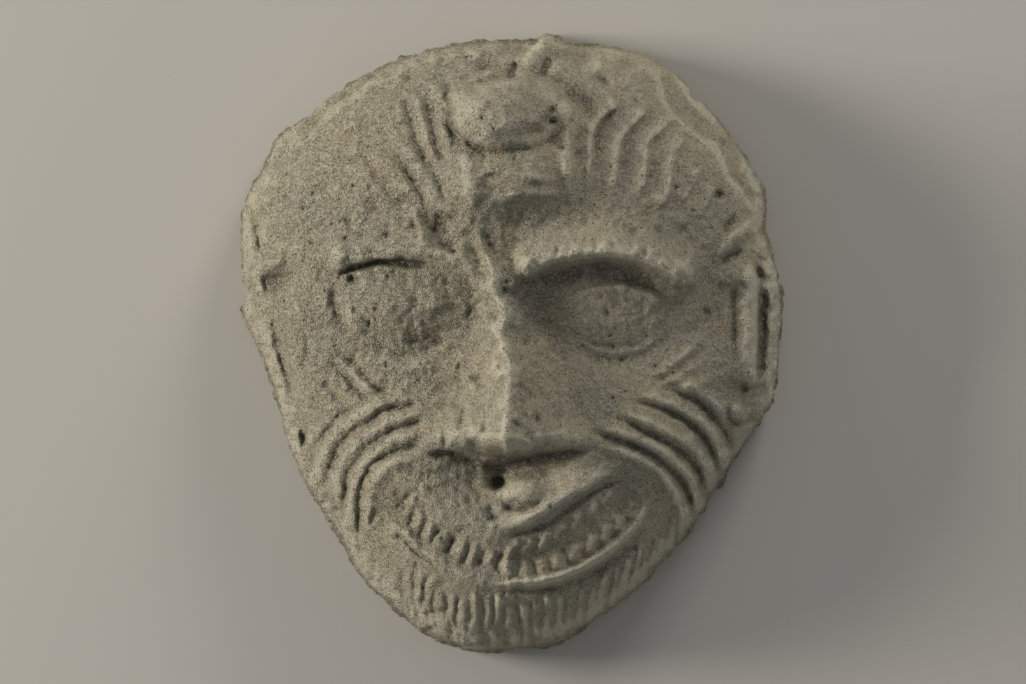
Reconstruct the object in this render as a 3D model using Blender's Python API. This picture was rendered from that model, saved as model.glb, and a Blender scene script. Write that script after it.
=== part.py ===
"""Humbaba mask: a grinning demon's face, pressed from clay in a mould, hollow behind and fired.

It lies on its flat back rim. +Z points out of the face, +Y to the crown and +X to the viewer's right.
The carving is laid out in hundredths of the mask's height, measured from the middle of the face with
x to the viewer's right and y to the crown, so it grows with the mask. Heights of the carving are in
the same unit.
"""
import math

import bmesh
import bpy
import numpy as np

# Driving sizes in metres
HEIGHT = 0.100    # beard to crown
EDGE = 0.005      # upright edge round the back
FOOT = 0.0012     # bevel under that edge
RISE = 0.023      # crown of the plain face above the edge
WALL = 0.0085     # clay between that crown and the hollow
RIM = 0.0055      # flat band that the mask lies on

FACE_SQUARES = 190      # squares across the face when it is carved
FACE_TRIANGLES = 7600   # triangles that the carved face keeps
HOLLOW_SQUARES = 20     # squares across the hollow
CLAY_COLOUR = (0.16, 0.14, 0.10, 1.0)
UNIT = HEIGHT / 100.0

# Edge of the mask seen from the front, anticlockwise from the right side
OUTLINE = [
    (43.2, 0.0), (43.7, 4.6), (43.3, 9.6), (41.9, 15.6), (41.2, 18.5), (41.0, 23.7), (38.9, 28.5),
    (33.0, 36.6), (29.0, 41.0), (25.5, 44.3), (20.9, 46.9), (15.6, 48.0), (10.3, 48.4),
    (7.4, 49.6), (5.2, 50.1), (3.0, 49.2), (-5.1, 48.9), (-12.0, 47.8), (-20.1, 45.2),
    (-29.3, 40.3), (-33.2, 36.8), (-37.6, 33.4), (-40.2, 28.3), (-43.0, 23.5), (-43.9, 17.8),
    (-43.5, 9.2), (-43.4, 4.8), (-41.5, 0.0), (-38.6, -7.2), (-36.3, -16.1),
    (-32.8, -23.8), (-28.0, -31.2), (-25.8, -35.4), (-22.4, -39.9), (-15.0, -46.2), (-10.3, -48.6),
    (-5.3, -49.9), (5.1, -48.9), (10.0, -47.0), (18.5, -41.3), (25.2, -34.7),
    (30.6, -27.5), (35.0, -20.2), (39.8, -12.9), (42.3, -8.6),
]

# Edges of the open mouth, from the left corner to the right one
MOUTH_TOP = [(-19.2, -22.4), (-16.3, -24.7), (-11.5, -27.9), (-6.1, -30.1), (-1.1, -30.6), (2.9, -29.5),
             (6.4, -27.5), (11.2, -24.4), (15.7, -21.8), (21.2, -20.8)]
MOUTH_LOW = [(-20.1, -24.0), (-17.9, -28.2), (-13.1, -32.7), (-7.5, -35.9), (-1.9, -37.3), (4.5, -36.8),
             (10.9, -34.7), (16.0, -31.7), (19.8, -27.9), (22.0, -22.4)]


def curve(points, steps, closed=False):
    """Points along a smooth curve through the given ones."""
    p = np.array(points, float)
    if closed:
        knots = np.vstack([p[-1:], p, p[:2]])
    else:
        knots = np.vstack([2 * p[:1] - p[1:2], p, 2 * p[-1:] - p[-2:-1]])
    spans = len(knots) - 3
    s = np.linspace(0, spans, steps, endpoint=not closed)
    i = np.minimum(s.astype(int), spans - 1)
    t = (s - i)[:, None]
    a, b, c, d = knots[i], knots[i + 1], knots[i + 2], knots[i + 3]
    return 0.5 * (2 * b + (c - a) * t + (2 * a - 5 * b + 4 * c - d) * t**2 + (3 * b - a - 3 * c + d) * t**3)


def between(first, last, share):
    """The curve that lies at a share of the way from one curve to another."""
    return curve(first, 9) * (1 - share) + curve(last, 9) * share


def ease(low, high, value):
    """0 below low and 1 above high, with a smooth change."""
    t = np.clip((value - low) / (high - low), 0, 1)
    return t * t * (3 - 2 * t)


RING = curve(OUTLINE, 720, closed=True)
RING -= (RING.max(axis=0) + RING.min(axis=0)) / 2
COMPASS = np.linspace(-math.pi, math.pi, 720, endpoint=False)
EDGE_REACH = np.interp(COMPASS, np.arctan2(RING[:, 1], RING[:, 0]), np.hypot(RING[:, 0], RING[:, 1]),
                       period=2 * math.pi)
SMOOTH_WAVES = 7
ROUND_REACH = np.fft.irfft(np.fft.rfft(EDGE_REACH)[:SMOOTH_WAVES], 720)


def outline_reach(x, y):
    """How far the outline is from the middle, towards each place, in hundredths of the height."""
    return np.interp(np.arctan2(y, x), COMPASS, EDGE_REACH, period=2 * math.pi)


class Face:
    """The face's height at many places at once, carved stroke by stroke."""

    def __init__(self, x, y):
        self.x, self.y = x, y
        self.z = np.zeros_like(x)

    def boss(self, centre, size, rise, turn=0.0, power=2.0):
        """A rounded swelling, or a hollow where rise is below 0."""
        u, v = self.local(centre, size, turn)
        self.z += rise * np.exp(-np.hypot(u, v) ** power)

    def cap(self, centre, size, rise, turn=0.0, soft=1.0):
        """A domed lump with an edge of its own."""
        u, v = self.local(centre, size, turn)
        self.z += rise * np.clip(1 - u * u - v * v, 0, None) ** soft

    def local(self, centre, size, turn):
        c, s = math.cos(math.radians(turn)), math.sin(math.radians(turn))
        dx, dy = self.x - centre[0], self.y - centre[1]
        return (dx * c + dy * s) / size[0], (dy * c - dx * s) / size[1]

    def stroke(self, points, rise, width, fade=0.3, power=2.0):
        """A ridge along a curve, or a groove; width is to both sides, or (left, right) of its travel."""
        left, right = width if isinstance(width, tuple) else (width, width)
        line = curve(points, 20)
        reach = 2.4 * max(left, right)
        low, high = line.min(axis=0) - reach, line.max(axis=0) + reach
        near = (self.x > low[0]) & (self.x < high[0]) & (self.y > low[1]) & (self.y < high[1])
        x, y = self.x[near], self.y[near]
        gap = np.full(len(x), np.inf)
        side, share = np.zeros(len(x)), np.zeros(len(x))
        for k, (start, step) in enumerate(zip(line, np.diff(line, axis=0))):
            length = np.hypot(*step)
            along = np.clip(((x - start[0]) * step[0] + (y - start[1]) * step[1]) / length**2, 0, 1)
            dx, dy = x - start[0] - along * step[0], y - start[1] - along * step[1]
            nearer = np.hypot(dx, dy) < gap
            gap[nearer] = np.hypot(dx, dy)[nearer]
            side[nearer] = (step[0] * dy - step[1] * dx)[nearer]
            share[nearer] = ((k + along) / (len(line) - 1))[nearer]
        strength = ease(0, fade, share) * ease(0, fade, 1 - share)
        reach = np.where(side > 0, left, right) * (0.55 + 0.45 * strength)
        self.z[near] += rise * strength * np.exp(-(gap / reach) ** power)

    def strokes(self, lines, rise, width, fade=0.4):
        for line in lines:
            self.stroke(line, rise, width, fade)


def carve(x, y):
    """Height of the carving over the plain face."""
    face = Face(x, y)
    masses(face)
    nose(face)
    left_eye(face)
    right_eye(face)
    knob(face)
    forehead(face)
    cheeks(face)
    mouth(face)
    teeth(face)
    beard(face)
    ears(face)
    chipped_edge(face)
    return face.z


def masses(face):
    """Brow, cheeks, muzzle and chin."""
    face.boss((0.0, 27.7), (30, 16), 2.0)
    face.boss((-19.2, -15.4), (9, 8), 2.0)
    face.boss((20.4, -15.4), (9, 8), 2.0)
    face.boss((-1.1, -28.2), (22, 12), 5.0)
    face.boss((-1.9, -42.6), (19, 8), 3.0)


NOSE_ROOT, NOSE_FOOT = 9.3, -17.2


def nose(face):
    """A sharp bridge over two hollow flanks that widen to a flat foot."""
    down = (NOSE_ROOT - face.y) / (NOSE_ROOT - NOSE_FOOT)
    grown = np.clip(down, 0, 1)
    across = face.x + 1.9 - 1.2 * ease(0, 0.45, down)
    half = np.where(across < 0, 4.2 + 11.5 * grown**1.35, 5.0 + 9.5 * grown**1.2)
    slope = (np.sqrt(across**2 + 0.35) - 0.59) / half
    flank = np.clip(1 - slope, 0, None) ** 1.7
    foot = 1 - ease(0.94, 1.06, down + 0.004 * np.abs(across))
    face.z += (4.4 + 4.6 * grown) * flank * ease(-0.22, 0.16, down) * foot
    face.boss((-8.9, -14.5), (5.4, 2.6), 2.0, turn=10)
    face.boss((8.0, -14.5), (5.4, 2.6), 1.8, turn=-8)
    face.stroke([(-13.1, -17.2), (-8.0, -17.5), (-3.2, -19.6), (1.3, -18.8), (7.8, -17.5), (14.1, -16.8)],
                -1.5, (0.8, 1.6), 0.18)
    face.stroke([(-6.7, -19.2), (-1.9, -20.5), (4.5, -19.9), (9.6, -18.6)], -1.2, 2.2)


def left_eye(face):
    """A worn, bulging eye under a low brow with a slit below it."""
    face.stroke([(-30.3, 11.4), (-27.5, 13.0), (-21.1, 14.1), (-13.1, 14.0), (-8.0, 12.7), (-4.5, 10.1),
                (-2.1, 6.9)], 2.4, (3.4, 1.7), 0.15)
    face.boss((-17.2, 4.7), (13.0, 8.0), -3.4, power=2.6)
    face.boss((-8.0, 3.4), (3.4, 6.0), -1.8)
    face.boss((-12.1, -0.7), (5.0, 3.2), -1.4, turn=20)
    face.cap((-18.8, 5.5), (11.2, 8.2), 4.6, soft=1.1)
    face.stroke([(-28.1, 11.7), (-24.3, 11.1), (-19.2, 12.4), (-15.3, 11.9)], -2.4, (0.9, 1.1), 0.15)
    face.stroke([(-27.8, 9.8), (-28.1, 6.6), (-27.0, 3.4), (-25.6, 0.9)], -0.7, 1.0)
    face.stroke([(-17.6, 0.2), (-14.1, 0.1), (-11.5, 0.9), (-8.6, 2.5)], -1.3, (1.0, 1.8), 0.4)


def right_eye(face):
    """An almond eye deep under an arched brow."""
    face.stroke([(-0.5, 8.2), (1.6, 11.1), (4.5, 13.2), (9.7, 14.9), (15.0, 15.6), (20.8, 14.6), (25.6, 12.4),
                (29.9, 9.2)],
                3.2, (3.6, 1.5), 0.12)
    face.boss((15.0, 3.4), (14.5, 7.6), -4.4, power=2.8)
    face.stroke([(2.9, 8.2), (6.9, 10.8), (12.3, 11.9), (17.6, 11.7), (22.2, 9.5), (26.8, 7.3)], -1.2, 1.6)
    face.cap((16.3, 4.2), (10.4, 6.4), 3.4, soft=1.1)
    face.stroke([(9.6, 6.9), (14.1, 9.2), (18.8, 9.0), (23.0, 7.3), (25.4, 4.4)], 0.5, 0.9)
    face.stroke([(9.6, 0.9), (13.4, -0.9), (17.9, -1.2), (22.0, 0.1), (24.9, 2.8)], 0.5, 0.9)


def knob(face):
    """The lump in the middle of the forehead, the ringed pillar under it and the crest on the crown."""
    face.cap((-0.3, 36.7), (10.2, 7.0), 6.0)
    face.boss((-6.7, 36.3), (2.6, 3.6), 1.1)
    face.boss((4.2, 33.1), (1.9, 1.3), -1.3, turn=20)
    face.boss((0.2, 25.8), (8.8, 7.4), 3.4, power=3.4)
    for y in (29.5, 26.7, 23.4):
        face.stroke([(-7.3, y - 0.3), (-3.5, y - 0.8), (1.3, y), (7.7, y - 0.6)], 0.9, 0.9)
    face.boss((1.6, 20.7), (6.0, 1.8), -1.2, turn=-4)
    face.stroke([(8.0, 40.2), (9.4, 36.7), (8.1, 32.5), (8.5, 27.4), (9.3, 23.6)], 1.5, (1.3, 1.1))
    face.stroke([(9.6, 40.8), (12.1, 38.2), (12.5, 35.1), (11.2, 30.9), (11.2, 25.2)], -1.7, 1.4)
    face.stroke([(5.1, 50.7), (4.8, 47.8), (4.3, 44.6), (4.0, 42.1)], 1.9, (1.6, 1.0))


def forehead(face):
    """Combed rolls on the right and gouged furrows on the left."""
    first = [(16.6, 37.9), (13.7, 35.4), (12.3, 32.5), (12.0, 28.3), (11.8, 23.9)]
    last = [(27.5, 31.2), (25.6, 27.4), (24.9, 24.2), (22.8, 21.0)]
    for k in range(4):
        line = between(first, last, k / 3)
        rise = 1.25 - 0.16 * k
        face.stroke(line, rise, (2.6, 0.9))
        face.stroke(line + (1.2, 0.0), -0.7 * rise, 0.8)
    furrows = ([(-13.3, 38.9), (-13.1, 35.7), (-12.0, 32.7), (-11.5, 29.6)], [(-12.3, 28.0), (-11.5, 25.2),
               (-10.4, 23.1)],
               [(-18.7, 30.9), (-16.8, 27.1), (-15.2, 23.9), (-13.4, 21.0)], [(-16.0, 36.0), (-15.3, 32.5),
                 (-14.5, 29.6)],
               [(-11.0, 41.8), (-10.1, 36.0), (-9.3, 32.2), (-8.3, 29.3)])
    face.strokes(furrows, -1.2, 0.9)
    face.strokes(([(33.4, 24.8), (32.1, 22.3)], [(35.8, 21.0), (33.5, 17.5)], [(37.8, 18.8), (35.3, 15.6),
                 (32.3, 13.0)]), -0.9, 0.9)
    face.stroke([(-13.4, 21.3), (-11.8, 18.4), (-9.9, 15.6), (-8.8, 13.0)], -1.9, 1.4)
    face.stroke([(-7.7, 17.2), (-5.1, 13.0), (-2.7, 7.9)], -1.5, 1.0)


def cheeks(face):
    """Deep smile lines that fan from the nostrils, and crow's feet beside the right eye."""
    right = ([(10.5, -13.8), (14.1, -14.5), (18.8, -16.5), (24.0, -19.4), (27.5, -22.4), (29.5, -26.0)],
             [(22.4, -6.9), (27.1, -8.5), (31.0, -10.9), (33.9, -14.5), (35.5, -18.0)])
    left = ([(-13.4, -15.6), (-17.6, -17.5), (-21.7, -19.6), (-23.8, -22.8), (-24.6, -27.5), (-24.8, -32.3)],
            [(-22.4, -10.3), (-25.9, -11.3), (-29.1, -12.9), (-31.0, -15.4), (-32.6, -19.9)])
    for inner, outer in (right, left):
        for k in range(4):
            face.stroke(between(inner, outer, k / 3), -1.5, 0.8, 0.25)
        for k in range(3):
            face.stroke(between(inner, outer, (k + 0.5) / 3), 0.9, 1.1)
    face.stroke([(11.7, -15.4), (17.2, -17.5), (22.8, -20.5), (26.4, -24.0), (28.1, -28.2)], 1.0, 1.1)
    face.stroke([(-19.2, -20.2), (-21.4, -23.1), (-22.4, -26.9), (-22.0, -31.4)], 1.0, 1.1)
    face.strokes(([(20.4, -6.1), (26.2, -3.0), (31.5, 2.2)], [(22.4, -7.4), (26.8, -4.9), (32.6, -1.7)]), 0.9,
                 0.9)
    face.strokes(([(-24.9, -3.0), (-22.0, -5.8), (-19.2, -8.4)], [(-27.8, -3.6), (-24.9, -6.5),
                 (-21.7, -9.3)]), -0.8, 0.9)


def mouth(face):
    """The muzzle with one nostril, the open grin, a rolled upper lip and the lower lip."""
    face.boss((-2.4, -22.3), (1.2, 1.3), -3.0, power=3)
    face.cap((1.9, -23.4), (3.2, 2.8), 1.7)
    face.stroke([(-1.9, -29.0), (1.1, -28.8), (4.6, -27.1), (7.7, -25.0), (11.2, -22.9), (15.0, -21.0),
                (20.4, -18.9)], 2.0, (1.6, 1.1))
    face.stroke(between(MOUTH_TOP, MOUTH_LOW, 0.5), -2.2, 3.0, 0.12, power=3.5)
    face.stroke(MOUTH_TOP, -0.9, 0.8, 0.12)
    face.stroke([(-19.8, -26.3), (-17.6, -29.8), (-12.8, -34.6), (-7.3, -37.4), (-1.1, -38.2)], 0.9, (1.6,
                2.2))
    face.stroke([(-5.1, -38.1), (1.1, -38.1), (6.4, -37.4), (10.4, -36.0), (14.7, -33.1), (18.8, -30.1),
                (20.6, -27.4), (21.2, -25.0)], 1.9, 1.0)
    face.stroke([(-7.3, -39.4), (-1.6, -39.7), (4.5, -39.5), (9.6, -38.4), (14.7, -35.5), (19.5, -32.2),
                (22.0, -28.2)], -1.5, 0.9)


TEETH = 15
TOOTH_HALF = 1.7


def teeth(face):
    """One row that leans more and more to the right, and a short upper row over its right half."""
    middle = curve([(-17.6, -25.6), (-13.9, -28.5), (-9.1, -31.5), (-3.5, -34.7), (3.7, -34.7), (9.6, -32.8),
                   (14.1, -29.9), (18.5, -26.0)], TEETH)
    for k, (x, y) in enumerate(middle):
        lean = 0.9 - 1.5 * abs(k / (TEETH - 1) - 0.5)
        face.stroke([(x + lean, y + TOOTH_HALF), (x - lean, y - TOOTH_HALF)], 1.5, 0.8)
    for x, y in curve([(0.0, -32.0), (7.0, -29.6), (14.7, -24.7)], 6):
        face.stroke([(x + 0.9, y + 1.1), (x - 0.9, y - 1.1)], 1.2, 0.8)


LOCKS = 22


def beard(face):
    """Gouged locks that hang from the lower lip."""
    top = curve([(-16.0, -34.6), (-11.5, -38.6), (-5.1, -40.3), (1.3, -40.5), (7.7, -39.4), (14.1, -36.5),
                (20.4, -32.2), (27.8, -23.4)], LOCKS)
    low = curve([(-17.2, -41.0), (-12.1, -45.4), (-5.7, -48.1), (1.3, -48.3), (6.4, -47.0), (11.5, -44.5),
                (16.9, -41.0), (28.7, -29.5)], LOCKS)
    uneven = np.random.default_rng(7)
    for root, tip in zip(top, low):
        reach, bend = uneven.uniform(0.6, 1.05), uneven.uniform(-0.5, 0.5)
        middle = root + (tip - root) * reach / 2 + (bend, 0.0)
        face.stroke([root, middle, root + (tip - root) * reach], -1.0, 0.8)


def ears(face):
    """A ridged right ear, and a worn left one that is a pit over a long groove."""
    face.stroke([(37.5, 13.0), (40.9, 11.4), (42.5, 8.2), (42.6, 2.2), (42.5, -3.6), (40.9, -9.0)], 2.6, 1.4,
                0.15)
    face.stroke([(35.5, 8.2), (35.3, 2.2), (35.6, -4.6), (37.1, -9.3)], 1.2, 1.2)
    face.stroke([(39.1, 9.8), (39.8, 3.8), (39.6, -2.6), (39.0, -6.5)], -1.5, 1.5)
    face.stroke([(39.1, 12.7), (40.9, 10.6), (42.8, 9.0)], -1.6, 0.9)
    face.boss((35.9, -11.3), (1.4, 1.4), 1.1)
    face.boss((-38.6, 10.0), (2.8, 1.5), -2.6, turn=5)
    face.stroke([(-38.3, 3.4), (-37.5, -0.2), (-36.6, -4.6), (-35.8, -10.9)], -1.5, 1.1)
    face.stroke([(-39.9, 6.9), (-39.3, 0.6), (-37.8, -5.8), (-36.4, -10.6)], 1.2, 1.3)


def chipped_edge(face):
    """Strips of the edge that broke away at the upper right and the upper left."""
    face.stroke([(24.3, 42.4), (25.6, 38.6), (28.4, 35.1), (33.5, 32.2), (35.5, 29.3), (36.4, 25.5),
                (38.6, 22.0), (40.6, 18.8)], -1.4, (0.8, 1.1), 0.15)
    face.stroke([(-21.1, 43.0), (-27.3, 39.2), (-31.9, 35.4), (-36.4, 32.2)], -1.0, 1.0, 0.2)


def face_height(x, y):
    """Height of the front of the mask over the plane that it lies on."""
    out = np.hypot(x, y)
    edge = outline_reach(x, y) * UNIT
    rounded = np.interp(np.arctan2(y, x), COMPASS, ROUND_REACH, period=2 * math.pi) * UNIT
    nearness = np.clip(out / edge, 0, 1) ** 6
    reach = np.clip(out / (rounded + (edge - rounded) * nearness), 0, 1)
    plain = EDGE + RISE * (1 - reach**2.3) ** 0.55
    return plain + UNIT * carve(x / UNIT, y / UNIT) * ease(0, 0.06, 1 - reach)


def hollow_height(x, y):
    """Height of the hollow's roof, down to 0 at the flat band."""
    reach = np.hypot(x, y) / (outline_reach(x, y) * UNIT - RIM)
    return (EDGE + RISE - WALL) * np.clip(1 - reach**2.2, 0, None) ** 0.6


def net_in_outline(squares, inset):
    """Corners of a square net that is rounded to fill the outline, less an inset."""
    side = np.linspace(-1, 1, squares + 1)
    u, v = np.meshgrid(side, side, indexing="ij")
    x, y = u * np.sqrt(1 - v * v / 2), v * np.sqrt(1 - u * u / 2)
    reach = outline_reach(x, y) * UNIT - inset
    return np.stack([x, y], axis=-1) * reach[..., None]


def sheet(name, net, height):
    """An open sheet of squares over a net."""
    corners = np.dstack([net, height]).reshape(-1, 3)
    line = len(net)
    squares = [(k, k + line, k + line + 1, k + 1) for k in range(line * (line - 1)) if (k + 1) % line]
    data = bpy.data.meshes.new(name)
    data.from_pydata(corners.tolist(), [], squares)
    return data


def thinned(data, triangles):
    """The same sheet with fewer triangles, kept where it bends."""
    carved = bpy.data.objects.new("carved", data)
    bpy.context.collection.objects.link(carved)
    thin = carved.modifiers.new("thin", "DECIMATE")
    thin.ratio = triangles / (2 * len(data.polygons))
    bpy.context.view_layer.update()
    result = bpy.data.meshes.new_from_object(carved.evaluated_get(bpy.context.evaluated_depsgraph_get()))
    bpy.data.objects.remove(carved)
    return result


def open_edges(mesh):
    return [edge for edge in mesh.edges if edge.is_boundary]


def lower_edge(mesh, inset, height):
    """Draws the sheet's open edge down to a height, and in by an inset."""
    drawn = bmesh.ops.extrude_edge_only(mesh, edges=open_edges(mesh))
    for vert in drawn["geom"]:
        if isinstance(vert, bmesh.types.BMVert):
            shrink = 1 - inset / math.hypot(vert.co.x, vert.co.y)
            vert.co = (vert.co.x * shrink, vert.co.y * shrink, height)


def mask():
    """The whole mask as one closed piece of clay."""
    net = net_in_outline(FACE_SQUARES, 0.0)
    front = thinned(sheet("front", net, face_height(net[..., 0], net[..., 1])), FACE_TRIANGLES)
    net = net_in_outline(HOLLOW_SQUARES, RIM)
    hollow = sheet("hollow", net, hollow_height(net[..., 0], net[..., 1]))
    mesh = bmesh.new()
    mesh.from_mesh(front)
    lower_edge(mesh, 0.0, FOOT)
    lower_edge(mesh, FOOT, 0.0)
    mesh.from_mesh(hollow)
    bmesh.ops.triangle_fill(mesh, edges=open_edges(mesh), normal=(0, 0, -1), use_beauty=True)
    bmesh.ops.triangulate(mesh, faces=[face for face in mesh.faces if len(face.verts) > 3])
    bmesh.ops.recalc_face_normals(mesh, faces=mesh.faces)
    data = bpy.data.meshes.new("mask")
    mesh.to_mesh(data)
    mesh.free()
    data.shade_smooth()
    data.set_sharp_from_angle(angle=math.radians(60))
    data.materials.append(fired_clay())
    part = bpy.data.objects.new("mask", data)
    bpy.context.collection.objects.link(part)


def fired_clay():
    """Sandy buff clay, dull all over."""
    material = bpy.data.materials.new("fired_clay")
    material.use_nodes = True
    shader = material.node_tree.nodes["Principled BSDF"]
    shader.inputs["Base Color"].default_value = CLAY_COLOUR
    shader.inputs["Roughness"].default_value = 0.9
    shader.inputs["Metallic"].default_value = 0.0
    return material


for old in list(bpy.data.objects):
    bpy.data.objects.remove(old)
mask()
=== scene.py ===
"""Looks of the humbaba mask: a demon's grinning face, pressed from sandy clay in a mould and fired.

The mask lies on its hollow back on a plain pale floor and the camera looks straight down on it.
The carving is laid out in hundredths of the mask's height, measured from the middle of the face with
x to the viewer's right and y to the crown. Its heights are in the same unit.
"""
import math

import bpy
import numpy as np
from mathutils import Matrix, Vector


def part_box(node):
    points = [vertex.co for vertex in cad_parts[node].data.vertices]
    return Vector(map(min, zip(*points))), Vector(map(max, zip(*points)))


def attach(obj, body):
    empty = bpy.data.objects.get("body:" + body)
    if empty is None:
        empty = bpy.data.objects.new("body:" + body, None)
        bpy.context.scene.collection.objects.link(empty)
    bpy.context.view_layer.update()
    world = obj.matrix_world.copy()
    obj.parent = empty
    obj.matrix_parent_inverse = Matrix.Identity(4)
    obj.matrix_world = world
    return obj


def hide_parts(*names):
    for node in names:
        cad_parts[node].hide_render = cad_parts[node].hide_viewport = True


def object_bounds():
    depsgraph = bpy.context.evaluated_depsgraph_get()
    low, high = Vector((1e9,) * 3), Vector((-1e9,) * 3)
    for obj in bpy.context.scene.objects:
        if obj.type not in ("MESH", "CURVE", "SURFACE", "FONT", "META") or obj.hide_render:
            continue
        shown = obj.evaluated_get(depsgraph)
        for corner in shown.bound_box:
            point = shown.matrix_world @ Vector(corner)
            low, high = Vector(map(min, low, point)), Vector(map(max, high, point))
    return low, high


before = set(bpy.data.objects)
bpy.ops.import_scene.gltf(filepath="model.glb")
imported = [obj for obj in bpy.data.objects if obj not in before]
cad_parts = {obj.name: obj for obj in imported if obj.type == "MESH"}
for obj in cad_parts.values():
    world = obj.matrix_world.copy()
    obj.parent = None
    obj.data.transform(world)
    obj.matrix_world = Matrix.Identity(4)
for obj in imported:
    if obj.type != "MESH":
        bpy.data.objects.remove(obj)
cad_low, cad_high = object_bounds()

# The plain body of the mask, in metres
HEIGHT = (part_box("mask")[1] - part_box("mask")[0]).y
UNIT = HEIGHT / 100.0
EDGE = 5.0 * UNIT       # upright edge round the back
FOOT = 1.2 * UNIT       # bevel under that edge
RISE = 23.0 * UNIT      # crown of the plain face above the edge
WALL = 8.5 * UNIT       # clay between that crown and the hollow
RIM = 5.5 * UNIT        # flat band that the mask lies on

# The mesh before it is thinned, and what it is thinned to
FRONT_SQUARES = 400     # squares across the carved face
BACK_SQUARES = 150      # squares across the hollow
SIDE_ROWS = 8           # rows of squares down the upright edge
BEVEL_ROWS = 2
BAND_ROWS = 4
MOST_TRIANGLES = 192000

CUT = 1.35              # how much deeper the carver cut than the strokes are laid out
MILLIMETRE = 0.001

# The picture, in metres
PHOTO_WIDTH = 163.9 * UNIT    # what it shows from side to side
CAMERA_DISTANCE = 2.4
CAMERA_AIM = (0.2 * UNIT, 0.2 * UNIT, 0.015)
LAMP_DISTANCE = 0.9
FLOOR_WIDTH = 12.0

# Edge of the mask seen from the front, anticlockwise from the right side
OUTLINE = [
    (43.2, 0.0), (43.7, 4.6), (43.3, 9.6), (41.9, 15.6), (41.2, 18.5), (41.0, 23.7), (38.9, 28.5),
    (33.0, 36.6), (29.0, 41.0), (25.5, 44.3), (20.9, 46.9), (15.6, 48.0), (10.3, 48.4),
    (7.4, 49.6), (5.2, 50.1), (3.0, 49.2), (-5.1, 48.9), (-12.0, 47.8), (-20.1, 45.2),
    (-29.3, 40.3), (-33.2, 36.8), (-37.6, 33.4), (-40.2, 28.3), (-43.0, 23.5), (-43.9, 17.8),
    (-43.5, 9.2), (-43.4, 4.8), (-41.5, 0.0), (-38.6, -7.2), (-36.3, -16.1),
    (-32.8, -23.8), (-28.0, -31.2), (-25.8, -35.4), (-22.4, -39.9), (-15.0, -46.2), (-10.3, -48.6),
    (-5.3, -49.9), (5.1, -48.9), (10.0, -47.0), (18.5, -41.3), (25.2, -34.7),
    (30.6, -27.5), (35.0, -20.2), (39.8, -12.9), (42.3, -8.6),
]


def curve(points, steps, closed=False):
    """Points along a smooth curve through the given ones."""
    p = np.array(points, float)
    if closed:
        knots = np.vstack([p[-1:], p, p[:2]])
    else:
        knots = np.vstack([2 * p[:1] - p[1:2], p, 2 * p[-1:] - p[-2:-1]])
    spans = len(knots) - 3
    s = np.linspace(0, spans, steps, endpoint=not closed)
    i = np.minimum(s.astype(int), spans - 1)
    t = (s - i)[:, None]
    a, b, c, d = knots[i], knots[i + 1], knots[i + 2], knots[i + 3]
    return 0.5 * (2 * b + (c - a) * t + (2 * a - 5 * b + 4 * c - d) * t**2 + (3 * b - a - 3 * c + d) * t**3)


def between(first, last, share):
    """The curve that lies at a share of the way from one curve to another."""
    return curve(first, 9) * (1 - share) + curve(last, 9) * share


def ease(low, high, value):
    """0 at low and 1 at high, with a smooth change between them."""
    t = np.clip((value - low) / (high - low), 0, 1)
    return t * t * (3 - 2 * t)


def lumps(x, y, size, seed):
    """Uneven ground, mostly from -1 to 1, with bumps about a size apart."""
    cells = 128
    middle = 5 * cells + 0.5
    table = np.random.default_rng(seed).uniform(-1, 1, (cells, cells))
    total = 0.0
    for turn in (0.6, 2.1):
        u = (x * math.cos(turn + seed) + y * math.sin(turn + seed)) / size + middle
        v = (y * math.cos(turn + seed) - x * math.sin(turn + seed)) / size + middle
        i, j = np.floor(u).astype(int), np.floor(v).astype(int)
        fu, fv = ease(0, 1, u - i), ease(0, 1, v - j)
        near, far = i % cells, (i + 1) % cells
        low = table[near, j % cells] * (1 - fu) + table[far, j % cells] * fu
        high = table[near, (j + 1) % cells] * (1 - fu) + table[far, (j + 1) % cells] * fu
        total = total + 0.7 * (low * (1 - fv) + high * fv)
    return total


# How far the outline is from the middle at each step round it, as it is and with its corners smoothed
RING_STEPS = 720
SMOOTH_WAVES = 7
RING = curve(OUTLINE, RING_STEPS, closed=True)
RING -= (RING.max(axis=0) + RING.min(axis=0)) / 2
COMPASS = np.linspace(-math.pi, math.pi, RING_STEPS, endpoint=False)
EDGE_REACH = np.interp(COMPASS, np.arctan2(RING[:, 1], RING[:, 0]), np.hypot(RING[:, 0], RING[:, 1]),
                       period=2 * math.pi)
ROUND_REACH = np.fft.irfft(np.fft.rfft(EDGE_REACH)[:SMOOTH_WAVES], RING_STEPS)


def outline_reach(x, y):
    """How far the outline is from the middle, towards each place, in hundredths of the height."""
    return np.interp(np.arctan2(y, x), COMPASS, EDGE_REACH, period=2 * math.pi)


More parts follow.
